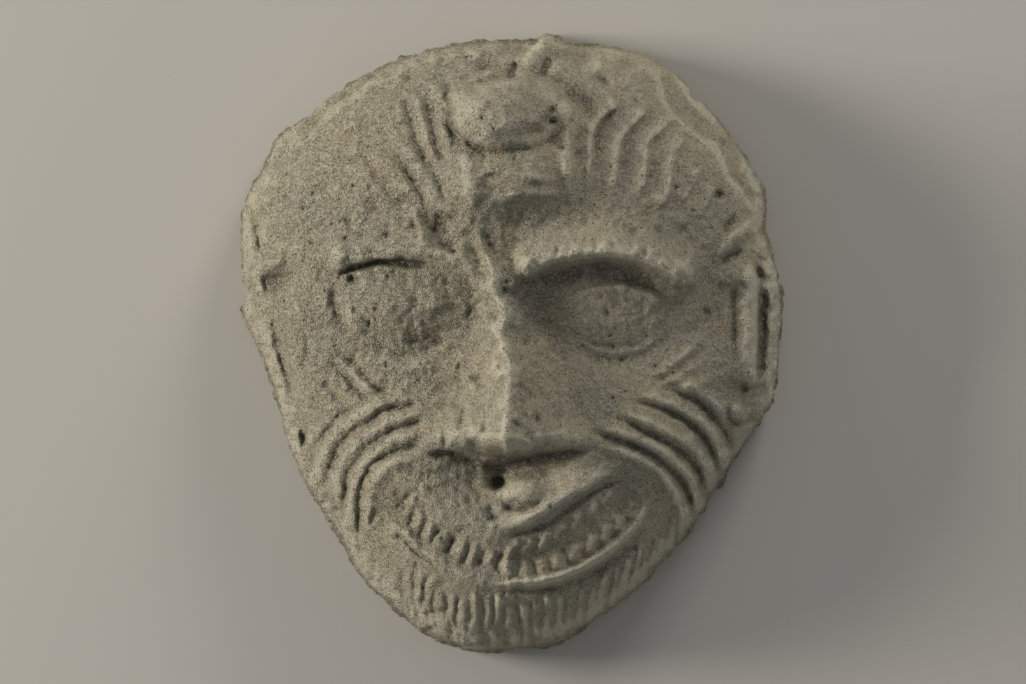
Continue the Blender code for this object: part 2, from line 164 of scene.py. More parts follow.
class Face:
    """The face's height at many places at once, carved stroke by stroke."""

    def __init__(self, x, y):
        self.x, self.y = x, y
        self.z = np.zeros_like(x)

    def boss(self, centre, size, rise, turn=0.0, power=2.0):
        """A rounded swelling, or a hollow where rise is below 0."""
        reach = 3.2 * max(size)
        near = (abs(self.x - centre[0]) < reach) & (abs(self.y - centre[1]) < reach)
        u, v = self.local(near, centre, size, turn)
        self.z[near] += rise * np.exp(-np.hypot(u, v) ** power)

    def cap(self, centre, size, rise, turn=0.0, soft=1.0):
        """A domed lump with an edge of its own."""
        near = np.hypot(self.x - centre[0], self.y - centre[1]) < max(size)
        u, v = self.local(near, centre, size, turn)
        self.z[near] += rise * np.clip(1 - u * u - v * v, 0, None) ** soft

    def local(self, near, centre, size, turn):
        """The near places as seen from a centre, with its turn, in sizes."""
        c, s = math.cos(math.radians(turn)), math.sin(math.radians(turn))
        dx, dy = self.x[near] - centre[0], self.y[near] - centre[1]
        return (dx * c + dy * s) / size[0], (dy * c - dx * s) / size[1]

    def stroke(self, points, rise, width, fade=0.3, power=2.0):
        """A ridge along a curve, or a groove; width is to both sides, or (left, right) of its travel."""
        left, right = width if isinstance(width, tuple) else (width, width)
        start_fade, end_fade = fade if isinstance(fade, tuple) else (fade, fade)
        line = curve(points, 24)
        reach = 2.4 * max(left, right)
        low, high = line.min(axis=0) - reach, line.max(axis=0) + reach
        near = (self.x > low[0]) & (self.x < high[0]) & (self.y > low[1]) & (self.y < high[1])
        x, y = self.x[near], self.y[near]
        gap = np.full(len(x), np.inf)
        side, share = np.zeros(len(x)), np.zeros(len(x))
        for k, (start, step) in enumerate(zip(line, np.diff(line, axis=0))):
            length = np.hypot(*step)
            along = np.clip(((x - start[0]) * step[0] + (y - start[1]) * step[1]) / length**2, 0, 1)
            dx, dy = x - start[0] - along * step[0], y - start[1] - along * step[1]
            distance = np.hypot(dx, dy)
            nearer = distance < gap
            gap[nearer] = distance[nearer]
            side[nearer] = (step[0] * dy - step[1] * dx)[nearer]
            share[nearer] = ((k + along) / (len(line) - 1))[nearer]
        strength = ease(0, start_fade, share) * ease(0, end_fade, 1 - share)
        spread = np.where(side > 0, left, right) * (0.55 + 0.45 * strength)
        self.z[near] += CUT * rise * strength * np.exp(-(gap / spread) ** power)

    def strokes(self, lines, rise, width, fade=0.4):
        """The same stroke along several curves."""
        for line in lines:
            self.stroke(line, rise, width, fade)


def carve(x, y):
    """Height of the carving over the plain face; the tool's path wavers most where the clay is worn."""
    waver = 0.3 + 0.7 * ease(12, -14, x)
    face = Face(x + waver * (0.4 * lumps(x, y, 3.2, 41) + 0.16 * lumps(x, y, 1.2, 42)),
                y + waver * (0.4 * lumps(x, y, 3.2, 43) + 0.16 * lumps(x, y, 1.2, 44)))
    for shape in (masses, nose, left_eye, right_eye, knob, crown, forehead, cheeks, mouth, teeth, beard,
                  ears, chipped_edge, worn_skin):
        shape(face)
    return face.z


def masses(face):
    """Brow, cheeks, muzzle and chin."""
    face.boss((0.0, 27.7), (30, 16), 2.0)
    face.boss((-14.1, 30.9), (15, 17), 1.3)
    face.boss((33.5, 25.8), (16, 16), 2.4)
    face.boss((-19.2, -15.4), (9, 8), 2.0)
    face.boss((20.4, -15.4), (9, 8), 2.0)
    face.boss((-1.1, -28.2), (22, 12), 5.0)
    face.boss((-1.9, -42.6), (19, 8), 3.0)


NOSE_ROOT, NOSE_FOOT = 9.3, -17.2


def nose(face):
    """A sharp bridge over two hollow flanks that widen to a flat foot."""
    down = (NOSE_ROOT - face.y) / (NOSE_ROOT - NOSE_FOOT)
    grown = np.clip(down, 0, 1)
    across = (face.x + 1.9 - 1.2 * ease(0, 0.45, down)
              + 0.5 * lumps(face.x, face.y, 3.0, 51) + 0.35 * lumps(face.x, face.y, 1.1, 52))
    half = np.where(across < 0, 4.2 + 11.5 * grown**1.35, 5.0 + 9.5 * grown**1.2)
    slope = (np.sqrt(across**2 + 0.35) - 0.59) / half
    flank = np.clip(1 - slope, 0, None) ** 1.7
    foot = 1 - ease(0.925, 1.05, down + 0.004 * np.abs(across))
    face.z += (4.4 + 4.6 * grown) * flank * ease(-0.22, 0.16, down) * foot
    face.boss((-8.9, -14.5), (5.4, 2.6), 2.0, turn=10)
    face.boss((8.0, -14.5), (5.4, 2.6), 1.8, turn=-8)
    face.boss((-1.9, -14.8), (4.5, 3.0), 0.8)
    face.strokes(([(-7.3, -9.7), (-8.0, -11.6), (-7.8, -14.1)],
                  [(-10.9, -13.2), (-10.5, -15.1), (-11.0, -16.7)],
                  [(-4.2, -12.2), (-4.5, -14.8)]), -0.5, 0.5)
    face.stroke([(-13.1, -17.2), (-8.6, -17.6), (-3.8, -19.4)], -1.0, (0.45, 1.0), (0.15, 0.15))
    face.stroke([(-5.1, -18.8), (-1.9, -19.7), (1.3, -18.8), (7.8, -17.5), (14.1, -16.8)], -1.4,
                (0.6, 1.5), (0.15, 0.25))
    face.stroke([(-4.5, -19.9), (-1.0, -20.5), (4.5, -19.9), (9.6, -18.6)], -1.1, 2.1)
    face.strokes(([(0.3, -9.7), (1.6, -10.9), (2.6, -12.9)],
                  [(0.0, -12.2), (1.6, -13.8)],
                  [(-1.0, -14.8), (0.6, -16.7)],
                  [(3.2, -10.9), (4.8, -12.9)],
                  [(1.9, -14.1), (3.8, -15.7)]), -0.5, 0.5)


def left_eye(face):
    """A worn, bulging eye under a low brow, with a slit between them."""
    face.stroke([(-30.3, 12.1), (-27.5, 13.3), (-21.1, 14.6), (-13.1, 14.6), (-8.0, 13.0), (-4.5, 10.1),
                 (-2.4, 6.6)], 1.6, (3.6, 1.8), 0.18)
    face.boss((-17.9, 5.2), (14.2, 9.0), -1.7)
    face.cap((-19.8, 6.1), (12.6, 8.0), 2.7, soft=2.0)
    face.boss((-10.9, 6.0), (4.6, 4.2), 0.6)
    face.boss((-12.8, 0.6), (3.8, 1.7), -0.5, turn=14)
    face.stroke([(-25.9, 10.6), (-24.6, 10.0), (-23.3, 10.1)], -0.9, 0.6, (0.3, 0.3))
    face.stroke([(-28.4, 11.4), (-25.9, 11.7), (-23.0, 12.5), (-19.2, 13.0), (-16.0, 12.7),
                 (-12.8, 12.4)], -1.6, (0.5, 0.7), (0.25, 0.12), power=3)
    face.stroke([(-27.1, 9.5), (-28.1, 6.6), (-27.1, 3.4), (-25.4, 0.6)], -0.8, (0.8, 1.1))
    face.stroke([(-25.6, 8.2), (-26.0, 5.7), (-25.4, 3.1), (-23.6, 0.9)], 0.4, 0.8)
    face.stroke([(-24.0, -0.4), (-20.4, -1.8), (-16.3, -1.7), (-12.5, -0.4), (-9.6, 1.8)], -0.4, 0.9)
    face.stroke([(-14.7, 9.2), (-15.0, 6.9), (-15.2, 4.9)], -0.2, 0.5)
    face.stroke([(-17.2, -0.1), (-15.0, 0.6), (-12.1, 1.7)], -0.25, 0.6)
    face.stroke([(-23.0, -1.7), (-17.9, -3.3), (-11.5, -3.0)], 0.4, 1.8)


def right_eye(face):
    """An almond eye deep under an arched brow of combed hair."""
    crest = [(1.0, 9.7), (2.6, 11.3), (5.4, 13.0), (9.7, 14.1), (15.0, 14.6), (20.8, 13.8),
             (25.6, 11.7), (30.0, 8.5)]
    face.stroke(crest, 2.8, (3.2, 1.3), (0.2, 0.12))
    face.stroke([(-0.5, 8.2), (0.2, 10.3), (1.9, 12.2), (4.5, 14.3)], 0.8, (1.3, 0.9), (0.15, 0.4))
    face.boss((15.0, 3.6), (14.6, 8.0), -4.0, power=2.4)
    face.stroke([(3.5, 7.9), (7.3, 10.1), (12.3, 11.3), (17.6, 11.1), (22.2, 9.2), (26.5, 6.9)], -1.0, 1.4)
    face.boss((16.0, 4.2), (9.5, 5.5), 1.4)
    face.cap((16.3, 4.4), (10.8, 6.0), 1.4, soft=1.1)
    face.stroke([(8.6, 5.7), (11.5, 7.9), (15.0, 8.9), (19.5, 8.7), (23.0, 7.1), (25.7, 4.4)], 0.2, 0.6,
                (0.3, 0.2))
    face.stroke([(7.7, 5.0), (10.2, 7.9), (14.4, 9.8), (19.5, 9.8), (23.6, 8.2), (26.5, 5.3)], -0.35, 0.6)
    face.stroke([(8.6, 2.2), (12.8, -0.9), (17.2, -1.4), (22.0, -0.1), (25.2, 3.0)], 0.3, 0.7)
    face.stroke([(9.9, 0.6), (14.1, -0.4), (18.2, -0.6), (22.0, -0.1)], -0.25, 0.5)
    face.stroke([(10.2, -1.0), (14.1, -2.8), (18.8, -2.8), (23.0, -1.0)], -0.3, 1.0)
    face.boss((15.3, 4.9), (0.45, 0.6), -0.6)
    hairs = 14
    for k, top in enumerate(curve(crest, hairs + 2)[1:-1]):
        lean = -1.9 + 3.6 * k / (hairs - 1)
        face.stroke([(top[0] - lean * 0.4, top[1] - 0.4), (top[0] - lean, top[1] + 2.4)],
                    -0.06 - 0.12 * (k * 5 % 3), 0.45, (0.3, 0.5))


def knob(face):
    """The lump in the middle of the forehead and the ringed pillar under it."""
    face.cap((-0.6, 37.3), (10.4, 6.7), 7.8, soft=1.0)
    face.boss((-5.1, 37.0), (4.6, 5.2), 1.9)
    face.boss((-7.2, 36.3), (2.5, 3.4), 1.4)
    face.boss((0.0, 40.2), (5.0, 2.0), 0.6)
    face.boss((6.4, 38.2), (1.6, 2.8), 0.8)
    face.boss((4.2, 36.7), (3.4, 4.2), -0.9)
    face.boss((3.2, 33.8), (2.8, 1.4), -1.9, turn=10)
    face.strokes(([(4.3, 34.3), (5.6, 36.0), (6.5, 37.3), (7.5, 38.2)],
                  [(5.1, 35.4), (6.4, 35.4), (7.3, 36.0)]), -1.0, 0.6)
    face.stroke([(-4.2, 35.1), (-4.2, 36.7), (-3.5, 38.4), (-2.6, 39.5)], -0.3, 0.5)
    face.stroke([(-7.3, 32.8), (-6.1, 31.5), (-4.5, 31.1), (-3.2, 31.4)], -0.5, (0.6, 0.4), (0.25, 0.4))
    face.stroke([(-8.0, 41.1), (-4.5, 41.9), (-1.0, 42.6), (2.9, 42.7)], -1.1, 0.6)
    face.boss((-0.6, 26.4), (9.0, 8.2), 4.6, power=3.0)
    face.stroke([(-5.1, 26.6), (-3.5, 27.4), (-1.4, 27.5)], 0.5, 0.6)
    face.stroke([(-1.9, 27.4), (2.9, 26.6), (7.7, 25.5)], 0.35, 0.9)
    face.stroke([(-2.9, 25.5), (0.5, 25.5), (4.5, 25.2), (8.0, 24.5)], -0.15, 0.8)
    face.stroke([(-2.9, 23.1), (1.0, 23.6), (5.4, 23.6), (8.6, 23.1)], 0.4, 0.9)
    face.boss((-4.2, 24.5), (1.3, 0.5), -0.5, turn=-8)
    face.boss((2.6, 20.5), (5.4, 2.6), -1.6, turn=6)
    face.boss((-7.0, 23.2), (2.8, 3.6), 0.8)
    face.stroke([(-7.5, 31.5), (-7.2, 26.1), (-6.1, 21.0)], 1.0, (2.4, 1.1))
    face.stroke([(8.0, 39.8), (8.9, 36.3), (8.8, 32.5), (8.8, 27.4), (9.7, 21.6)], 1.4, (1.5, 1.2),
                (0.2, 0.3))
    face.stroke([(8.0, 40.8), (10.2, 39.8), (12.1, 37.3), (13.6, 35.4)], -0.7, 1.4)
    face.stroke([(10.9, 35.4), (10.7, 30.9), (11.2, 24.5)], -0.6, 1.4)


def crown(face):
    """A short crest on the crown, with dents beside it."""
    face.cap((5.1, 49.1), (2.4, 1.8), 1.0)
    face.stroke([(5.4, 50.7), (4.0, 48.1), (3.0, 45.6), (2.2, 43.0)], 1.6, (1.3, 1.7), (0.1, 0.3))
    face.boss((2.4, 43.2), (2.0, 1.1), 0.8, turn=15)
    face.stroke([(6.1, 46.2), (5.3, 44.3), (4.6, 42.1)], -1.0, 0.5)
    face.stroke([(0.8, 45.3), (0.2, 43.7), (-0.6, 42.1)], -0.9, 0.5)
    face.boss((7.7, 46.4), (2.0, 0.9), -0.9)
    face.boss((11.3, 45.6), (1.3, 1.0), -0.9)
    face.boss((14.7, 41.8), (1.6, 1.0), -1.0, turn=-35)
    face.boss((13.4, 44.3), (2.4, 1.4), 0.6, turn=-20)
    face.boss((-1.0, 44.3), (2.0, 2.2), 0.4)
    for place in [(-7.3, 45.6), (-4.2, 44.6), (-6.1, 40.5), (-10.2, 44.3)]:
        face.boss(place, (1.2, 0.8), -0.8, turn=-30)


def forehead(face):
    """Combed rolls on the right and gouged furrows on the left."""
    rolls = ([(17.6, 38.2), (15.0, 36.7), (13.1, 34.4), (12.6, 31.9), (12.5, 28.7), (12.0, 23.6)],
             [(22.0, 37.6), (19.5, 35.2), (17.4, 32.5), (16.8, 29.6), (16.4, 26.1), (15.7, 22.6)],
             [(25.9, 36.0), (23.2, 33.6), (21.6, 31.5), (21.4, 29.0), (21.2, 25.8), (19.5, 22.3)],
             [(28.1, 33.1), (26.0, 30.3), (25.4, 26.4), (24.6, 22.9), (22.4, 20.7)],
             [(30.0, 28.0), (28.6, 25.2), (27.1, 21.6)],
             [(32.3, 25.2), (31.0, 22.3), (29.7, 19.1)])
    for k, line in enumerate(rolls):
        rise = 0.85 - 0.1 * k
        face.stroke(line, 1.05 * rise, (0.42, 2.3), (0.1, 0.2))
        face.stroke(np.array(line) + (1.2, 0.1), -0.35 * rise, (1.8, 0.6), (0.12, 0.25))
    face.boss((14.7, 34.7), (1.7, 3.4), -0.6, turn=-30)
    face.strokes(([(33.2, 24.8), (32.6, 22.4)],
                  [(36.1, 21.2), (34.7, 19.1), (33.4, 17.2)],
                  [(37.7, 15.3), (34.8, 13.7), (32.6, 12.1)]), -0.8, 0.75)
    face.stroke([(39.3, 20.0), (37.4, 18.4), (34.8, 16.4), (31.3, 12.4)], 1.0, (1.1, 0.8))
    face.strokes(([(26.5, 15.3), (27.8, 13.3)],
                  [(28.4, 19.4), (25.6, 16.5)],
                  [(24.3, 18.4), (22.0, 16.5)]), -0.3, 0.8)
    face.boss((19.0, 17.5), (1.2, 1.0), -0.7)
    furrows = ([(-14.7, 42.4), (-13.7, 37.9), (-12.6, 33.8), (-11.2, 29.0), (-9.9, 26.1)],
               [(-17.2, 40.2), (-16.0, 34.7), (-14.7, 30.9), (-12.5, 26.7)],
               [(-19.5, 31.9), (-17.1, 27.4), (-15.0, 23.9), (-12.1, 19.4)],
               [(-13.1, 29.9), (-11.5, 25.5), (-9.9, 21.3)],
               [(-11.5, 45.3), (-10.5, 39.5), (-9.6, 34.7), (-8.3, 29.9)],
               [(-24.3, 31.2), (-21.4, 26.4), (-18.2, 22.0)],
               [(-22.0, 36.3), (-19.8, 31.5), (-18.2, 28.0)])
    for line, depth in zip(furrows, (0.85, 0.75, 0.85, 0.8, 0.7, 0.5, 0.3)):
        face.stroke(line, -0.8 * depth, (1.2, 0.55), 0.25)
        face.stroke(np.array(line) + (1.8, 0.3), 0.4 * depth, (1.3, 1.1), 0.25)
    face.strokes(([(-22.7, 23.6), (-20.9, 19.7)],
                  [(-19.3, 23.9), (-17.2, 20.0)],
                  [(-16.0, 20.0), (-14.1, 16.2)],
                  [(-26.8, 20.7), (-24.0, 17.2)],
                  [(-17.2, 45.0), (-16.0, 41.4)],
                  [(-12.1, 22.0), (-9.3, 16.5)]), -0.6, 0.8)
    marks = [(-20.1, 17.2), (-24.1, 17.0), (-26.0, 16.4), (-9.7, 19.9), (-9.1, 14.6), (-33.9, 30.6),
             (-30.3, 24.5)]
    for place, size in zip(marks, (1.1, 0.8, 0.7, 0.6, 0.6, 0.9, 1.1)):
        face.boss(place, (size, 0.7 * size), -0.9, turn=20)
    face.stroke([(-13.7, 21.6), (-12.1, 18.8), (-10.1, 15.9), (-8.6, 13.0)], -1.2, 1.8, (0.4, 0.35))
    face.stroke([(-16.3, 22.3), (-14.7, 18.8), (-13.4, 15.9)], 0.5, 1.0)
    face.stroke([(-7.7, 17.2), (-5.4, 13.3), (-3.5, 8.2)], -0.6, (0.9, 1.2), (0.4, 0.25))
    face.stroke([(-0.8, 12.1), (-1.1, 9.5), (-1.4, 6.3)], -0.45, 0.6, (0.3, 0.3))
    face.stroke([(-6.1, 19.4), (-4.2, 14.9), (-2.6, 9.5)], 0.45, 0.8)
    face.stroke([(3.5, 16.8), (1.6, 14.3), (0.0, 10.8)], 0.4, 0.8)
    face.boss((-1.8, 13.0), (1.8, 3.4), 0.7)


def cheeks(face):
    """Smile lines that fan from the nostrils over both cheeks, and creases under and beside the eyes."""
    right = ([(10.5, -14.0), (14.4, -14.5), (18.5, -15.9), (22.7, -18.0), (26.2, -21.0), (28.4, -24.4),
              (28.9, -29.1)],
             [(14.1, -11.9), (17.9, -12.5), (22.0, -14.5), (26.2, -16.8), (29.4, -19.7), (31.0, -23.4),
              (31.1, -26.3)],
             [(16.6, -8.9), (20.8, -9.5), (24.9, -10.8), (28.7, -13.2), (31.3, -16.0), (32.9, -19.6),
              (33.5, -22.4)],
             [(21.7, -6.9), (25.6, -7.6), (29.4, -9.2), (32.3, -11.9), (34.5, -15.1), (35.8, -18.3)])
    left = ([(-13.1, -15.4), (-17.6, -17.0), (-21.7, -18.8), (-23.8, -21.5), (-24.4, -24.7),
             (-24.6, -28.2), (-24.8, -33.0)],
            [(-12.5, -12.2), (-17.2, -13.2), (-21.1, -15.3), (-24.6, -18.0), (-26.2, -21.2),
             (-27.0, -25.0), (-27.5, -30.1)],
            [(-13.7, -9.2), (-17.9, -10.3), (-21.7, -11.7), (-25.2, -13.5), (-27.8, -16.7),
             (-29.2, -20.2), (-30.3, -25.0)],
            [(-21.4, -9.3), (-25.6, -10.6), (-28.4, -12.5), (-30.7, -15.7), (-31.9, -18.3),
             (-32.6, -21.5)])
    for lines, crest, crest_width, start in ((right, 0.35, (1.5, 0.7), 0.4), (left, 0.5, 1.3, 0.12)):
        for line in lines:
            face.stroke(line, -0.32, 0.9, (start, 0.15))
            face.stroke(line, -0.38, 0.36, (start, 0.15))
        for inner, outer in zip(lines, lines[1:]):
            face.stroke(between(inner, outer, crest), 0.8, crest_width, (0.25, 0.15))
    face.stroke([(12.5, -15.7), (17.6, -17.6), (22.4, -20.2), (25.6, -23.4), (27.0, -26.9),
                 (27.5, -30.7)], 0.9, 1.2, (0.25, 0.2))
    face.stroke([(14.7, -17.3), (20.4, -19.6), (23.6, -22.1), (24.9, -25.6)], -0.5, 0.7, (0.4, 0.3))
    face.stroke([(24.9, -5.2), (28.4, -6.8), (32.4, -9.7), (35.3, -13.5)], 0.7, 1.1)
    face.stroke([(-14.7, -18.0), (-19.2, -19.6), (-21.7, -22.4), (-22.7, -26.3), (-22.5, -30.7)], 0.9,
                1.2, (0.2, 0.2))
    face.strokes(([(-21.7, -25.6), (-22.5, -29.8)], [(-33.9, -12.9), (-33.2, -17.3)]), -0.9, 0.6)
    face.strokes(([(20.4, -6.1), (26.2, -3.0), (31.5, 2.2)],
                  [(22.4, -7.4), (26.8, -4.9), (32.6, -1.7)],
                  [(24.3, -8.4), (29.4, -6.5), (33.2, -4.9)]), 0.45, 0.9)
    face.strokes(([(21.7, -7.1), (26.8, -3.9), (31.9, -0.1)],
                  [(30.0, 6.9), (31.0, 4.4), (30.0, 1.8)],
                  [(26.8, 0.6), (30.0, 3.4)]), -0.35, 0.8)
    face.strokes(([(-27.5, -1.0), (-23.3, -5.2), (-18.2, -9.3)],
                  [(-30.0, -2.0), (-25.9, -5.8), (-21.1, -10.3)],
                  [(-30.3, -5.8), (-25.9, -10.6)]), -0.5, 0.6, 0.25)
    face.stroke([(-28.4, -1.7), (-24.3, -5.8), (-19.8, -9.7)], 0.4, 0.9)


# Edges of the open mouth, from the left corner to the right one
MOUTH_TOP = [(-19.2, -21.8), (-16.6, -23.4), (-12.1, -27.2), (-6.7, -30.3), (-1.1, -30.9), (2.9, -29.9),
             (6.4, -28.5), (10.9, -25.2), (15.3, -22.6), (21.2, -21.2)]
MOUTH_LOW = [(-20.0, -23.7), (-17.9, -27.9), (-13.1, -32.2), (-7.5, -35.9), (-1.9, -37.1), (4.5, -36.7),
             (10.5, -34.3), (15.3, -31.1), (19.5, -27.2), (21.7, -22.8)]


def mouth(face):
    """The muzzle with one nostril, the open grin, a rolled upper lip and the lower lip."""
    face.boss((-16.9, -20.5), (5.5, 4.2), 1.3)
    face.boss((-6.1, -22.1), (6.2, 4.2), -1.8, turn=-10)
    face.boss((-2.4, -22.3), (1.25, 1.0), -3.2, power=3)
    face.boss((-4.5, -21.2), (2.8, 1.5), -0.7)
    face.cap((1.6, -23.6), (3.4, 3.0), 1.3, soft=1.3)
    face.stroke([(-1.9, -24.5), (0.0, -26.0), (2.9, -26.1), (5.7, -24.5)], -0.6, 0.7)
    face.stroke([(-3.5, -25.0), (-2.9, -27.2), (-1.9, -28.8)], -0.5, 0.8)
    face.stroke([(-2.2, -29.3), (1.1, -28.7), (4.6, -26.9), (7.7, -25.0), (11.2, -22.8), (15.0, -20.7),
                 (21.1, -18.3)], 1.3, (2.0, 0.9), (0.2, 0.3))
    face.stroke(between(MOUTH_TOP, MOUTH_LOW, 0.5), -0.8, 2.7, 0.12, power=3.0)
    face.stroke([(-1.1, -30.9), (2.9, -29.9), (6.4, -28.5), (10.9, -25.2), (15.3, -22.6),
                 (20.4, -21.3)], -0.6, 0.5, (0.1, 0.25))
    face.stroke([(-19.8, -22.1), (-18.5, -23.1), (-17.6, -25.0)], -0.4, 0.8)
    face.stroke([(-19.8, -26.3), (-17.6, -29.8), (-12.8, -34.6), (-7.3, -37.4), (-1.1, -38.2)], 0.7,
                (1.6, 2.2))
    face.stroke([(-5.1, -38.1), (1.1, -38.1), (6.4, -37.4), (10.4, -36.0), (14.7, -33.5), (18.5, -30.4),
                 (20.6, -27.4), (21.4, -24.7)], 1.3, 0.8, (0.25, 0.2))
    face.stroke([(-7.3, -39.4), (-1.6, -39.7), (4.5, -39.5), (9.6, -38.4), (14.7, -35.9), (19.2, -32.7),
                 (22.0, -28.5)], -0.6, 0.8, (0.25, 0.2))
    face.stroke([(-18.8, -29.8), (-16.6, -31.7), (-14.1, -33.9), (-11.5, -36.7)], -0.55, 0.32, 0.2)


def teeth(face):
    """One leaning row cut by gaps on the left, and on the right a short upper row over a lower one."""
    gaps = [(-17.1, -25.2), (-15.8, -27.7), (-13.9, -29.3), (-12.0, -30.7), (-9.6, -32.3),
            (-7.3, -33.5), (-4.5, -33.9), (-2.2, -34.9)]
    for k, (x, y) in enumerate(gaps):
        long = 1.6 + 0.4 * (k % 3)
        face.stroke([(x + 0.9, y + long), (x, y), (x - 0.8, y - long)], -0.35, 0.42, 0.3)
        face.stroke([(x + 2.1, y + long - 0.4), (x + 1.2, y - 0.3), (x + 0.5, y - long)], 0.4, 0.7, 0.35)
    high_row = [(0.0, -32.8), (2.4, -32.3), (5.0, -31.4), (7.3, -30.1), (9.9, -28.5), (12.5, -26.7),
                (15.0, -24.7)]
    for x, y in high_row:
        face.stroke([(x + 1.2, y + 1.7), (x - 1.0, y - 1.5)], 0.6, 0.7, 0.25)
    low_row = [(-0.3, -35.5), (2.2, -35.9), (4.8, -35.4), (7.3, -34.6), (9.9, -33.3), (12.5, -31.9),
               (14.7, -30.3), (16.8, -28.5), (18.7, -26.4)]
    for x, y in low_row:
        face.stroke([(x + 0.3, y + 1.5), (x - 0.2, y - 1.7)], 0.6, 0.9, 0.2, power=2.6)


LOCKS = 28


def beard(face):
    """Gouged locks that hang from the lower lip, in two tiers."""
    top = curve([(-17.2, -34.6), (-11.5, -38.6), (-5.1, -39.7), (1.3, -40.0), (7.7, -39.0),
                 (14.1, -36.5), (20.4, -32.3), (24.9, -27.7), (28.4, -23.4)], LOCKS)
    low = curve([(-17.9, -42.9), (-12.1, -47.4), (-5.7, -49.9), (1.3, -50.2), (7.0, -48.9),
                 (12.5, -46.4), (17.9, -42.6), (23.6, -37.1), (30.0, -30.7)], LOCKS)
    uneven = np.random.default_rng(7)
    for root, tip in zip(top, low):
        step = tip - root
        sway = np.array((uneven.uniform(-0.3, 0.3), 0.0))
        first = uneven.uniform(-0.06, 0.14)
        last = uneven.uniform(0.6, 1.05)
        middle = root + 0.5 * (first + last) * step + sway
        line = np.array([root + first * step, middle, root + last * step])
        face.stroke(line, -uneven.uniform(0.2, 0.5), uneven.uniform(0.3, 0.45), (0.15, 0.4))
        face.stroke(line + (uneven.uniform(0.6, 1.0), 0.0), uneven.uniform(0.3, 0.55), 0.8, (0.15, 0.4))
        aside = np.array((uneven.uniform(0.3, 1.1), 0.0))
        start = uneven.uniform(0.4, 0.75)
        face.stroke([root + start * step + aside, root + 0.85 * step + aside + sway,
                     root + 1.12 * step + aside], -uneven.uniform(0.2, 0.55), uneven.uniform(0.32, 0.5),
                    (0.3, 0.2))
    face.strokes(([(-0.2, -45.1), (-1.3, -49.3)],
                  [(-4.5, -45.8), (-5.1, -48.9)],
                  [(3.8, -46.1), (2.9, -49.3)]), -0.6, 0.8)
    face.stroke([(-17.6, -43.2), (-14.7, -43.5), (-11.8, -42.9), (-9.3, -41.8)], -0.6, 0.6)
    face.cap((-11.8, -45.0), (6.0, 2.4), 0.7, turn=-22)
    face.strokes(([(-26.5, -32.7), (-24.0, -34.6), (-21.1, -35.5)],
                  [(-24.9, -36.2), (-22.0, -37.4), (-19.2, -37.8)],
                  [(-20.4, -31.4), (-19.2, -33.9), (-18.5, -36.8)]), -0.3, 0.7)


def ears(face):
    """A ridged right ear, and a worn left one that is a pit over a long groove."""
    face.boss((32.3, 6.3), (3.2, 6.5), -1.5, turn=-8)
    face.stroke([(38.3, 14.0), (38.6, 9.3), (38.5, 2.2), (38.5, -3.9), (38.6, -7.7)], 2.0, (0.8, 2.6),
                (0.2, 0.2))
    face.stroke([(35.6, 10.1), (35.5, 3.8), (35.6, -4.2)], -0.6, 0.8)
    face.stroke([(40.2, 9.8), (40.2, 3.8), (40.1, -2.6), (39.1, -6.8)], -1.2, 1.1, (0.2, 0.25))
    face.stroke([(40.2, 13.7), (42.2, 11.1), (42.3, 6.9), (42.2, 0.6), (42.2, -4.6), (40.9, -9.0)], 1.6,
                1.2, (0.12, 0.3))
    face.boss((42.0, 11.4), (1.8, 1.7), 1.5)
    face.boss((40.4, 11.1), (1.7, 0.9), -1.7, turn=-40)
    face.stroke([(36.6, -6.1), (37.7, -8.1)], -0.7, 0.7)
    face.boss((35.9, -10.9), (1.5, 1.5), 1.3)
    face.stroke([(34.8, -9.3), (34.5, -11.6), (35.8, -12.9), (36.9, -12.2)], -0.8, 0.5)
    face.boss((-37.4, 10.0), (3.4, 2.0), -3.2, turn=8)
    face.boss((-36.3, 12.7), (1.2, 1.8), -0.8, turn=-20)
    face.stroke([(-40.9, 13.0), (-40.6, 10.1), (-39.9, 7.6)], 0.7, 0.8)
    face.stroke([(-38.5, 4.1), (-37.5, -0.2), (-36.6, -4.6), (-35.5, -10.9)], -0.75, (1.6, 0.7),
                (0.3, 0.15))
    face.stroke([(-39.9, 6.9), (-39.3, 0.6), (-37.8, -5.8), (-36.4, -10.6)], 0.7, 1.3)
    face.stroke([(-32.3, 2.2), (-32.7, -1.7), (-33.1, -4.6)], -0.45, 0.6)
    face.stroke([(-34.0, -13.2), (-33.4, -15.4), (-33.5, -17.6)], -0.7, 0.6)


def chipped_edge(face):
    """Strips of the edge that broke away at the upper right and the upper left."""
    crack = [(24.0, 45.0), (24.4, 42.1), (24.9, 39.5), (25.9, 37.6), (27.8, 35.7), (30.0, 33.8),
             (32.6, 32.5), (34.3, 29.9), (35.3, 27.1), (37.1, 25.0), (38.6, 22.3), (40.6, 19.1)]
    face.stroke(crack, -1.0, (1.6, 0.45), (0.06, 0.2))
    face.stroke(np.array(crack) + (1.6, 1.2), -1.3, 1.4, (0.06, 0.2))
    face.stroke([(36.7, 29.3), (38.3, 26.7), (39.9, 23.6)], 0.9, 1.1)
    face.stroke([(-19.8, 43.7), (-26.7, 39.7), (-31.0, 36.0), (-35.8, 32.8)], -0.8, (0.5, 1.1), 0.2)
    face.stroke([(-20.8, 42.7), (-26.7, 38.9), (-30.7, 35.4)], 0.5, 0.9, 0.2)
    face.boss((-37.1, 31.2), (1.3, 2.6), -1.0, turn=-30)
    face.stroke([(-42.5, 22.3), (-41.5, 19.4), (-40.6, 16.5), (-41.8, 14.3)], -0.9, 0.6, 0.2)
    face.boss((-42.5, 18.8), (1.2, 2.6), 0.6)


def roughness(x, y):
    """How weathered the clay is, from 0.55 on the right to 1 on the left and at the top."""
    return 0.55 + 0.45 * ease(18, -14, x + 0.25 * (30 - y))


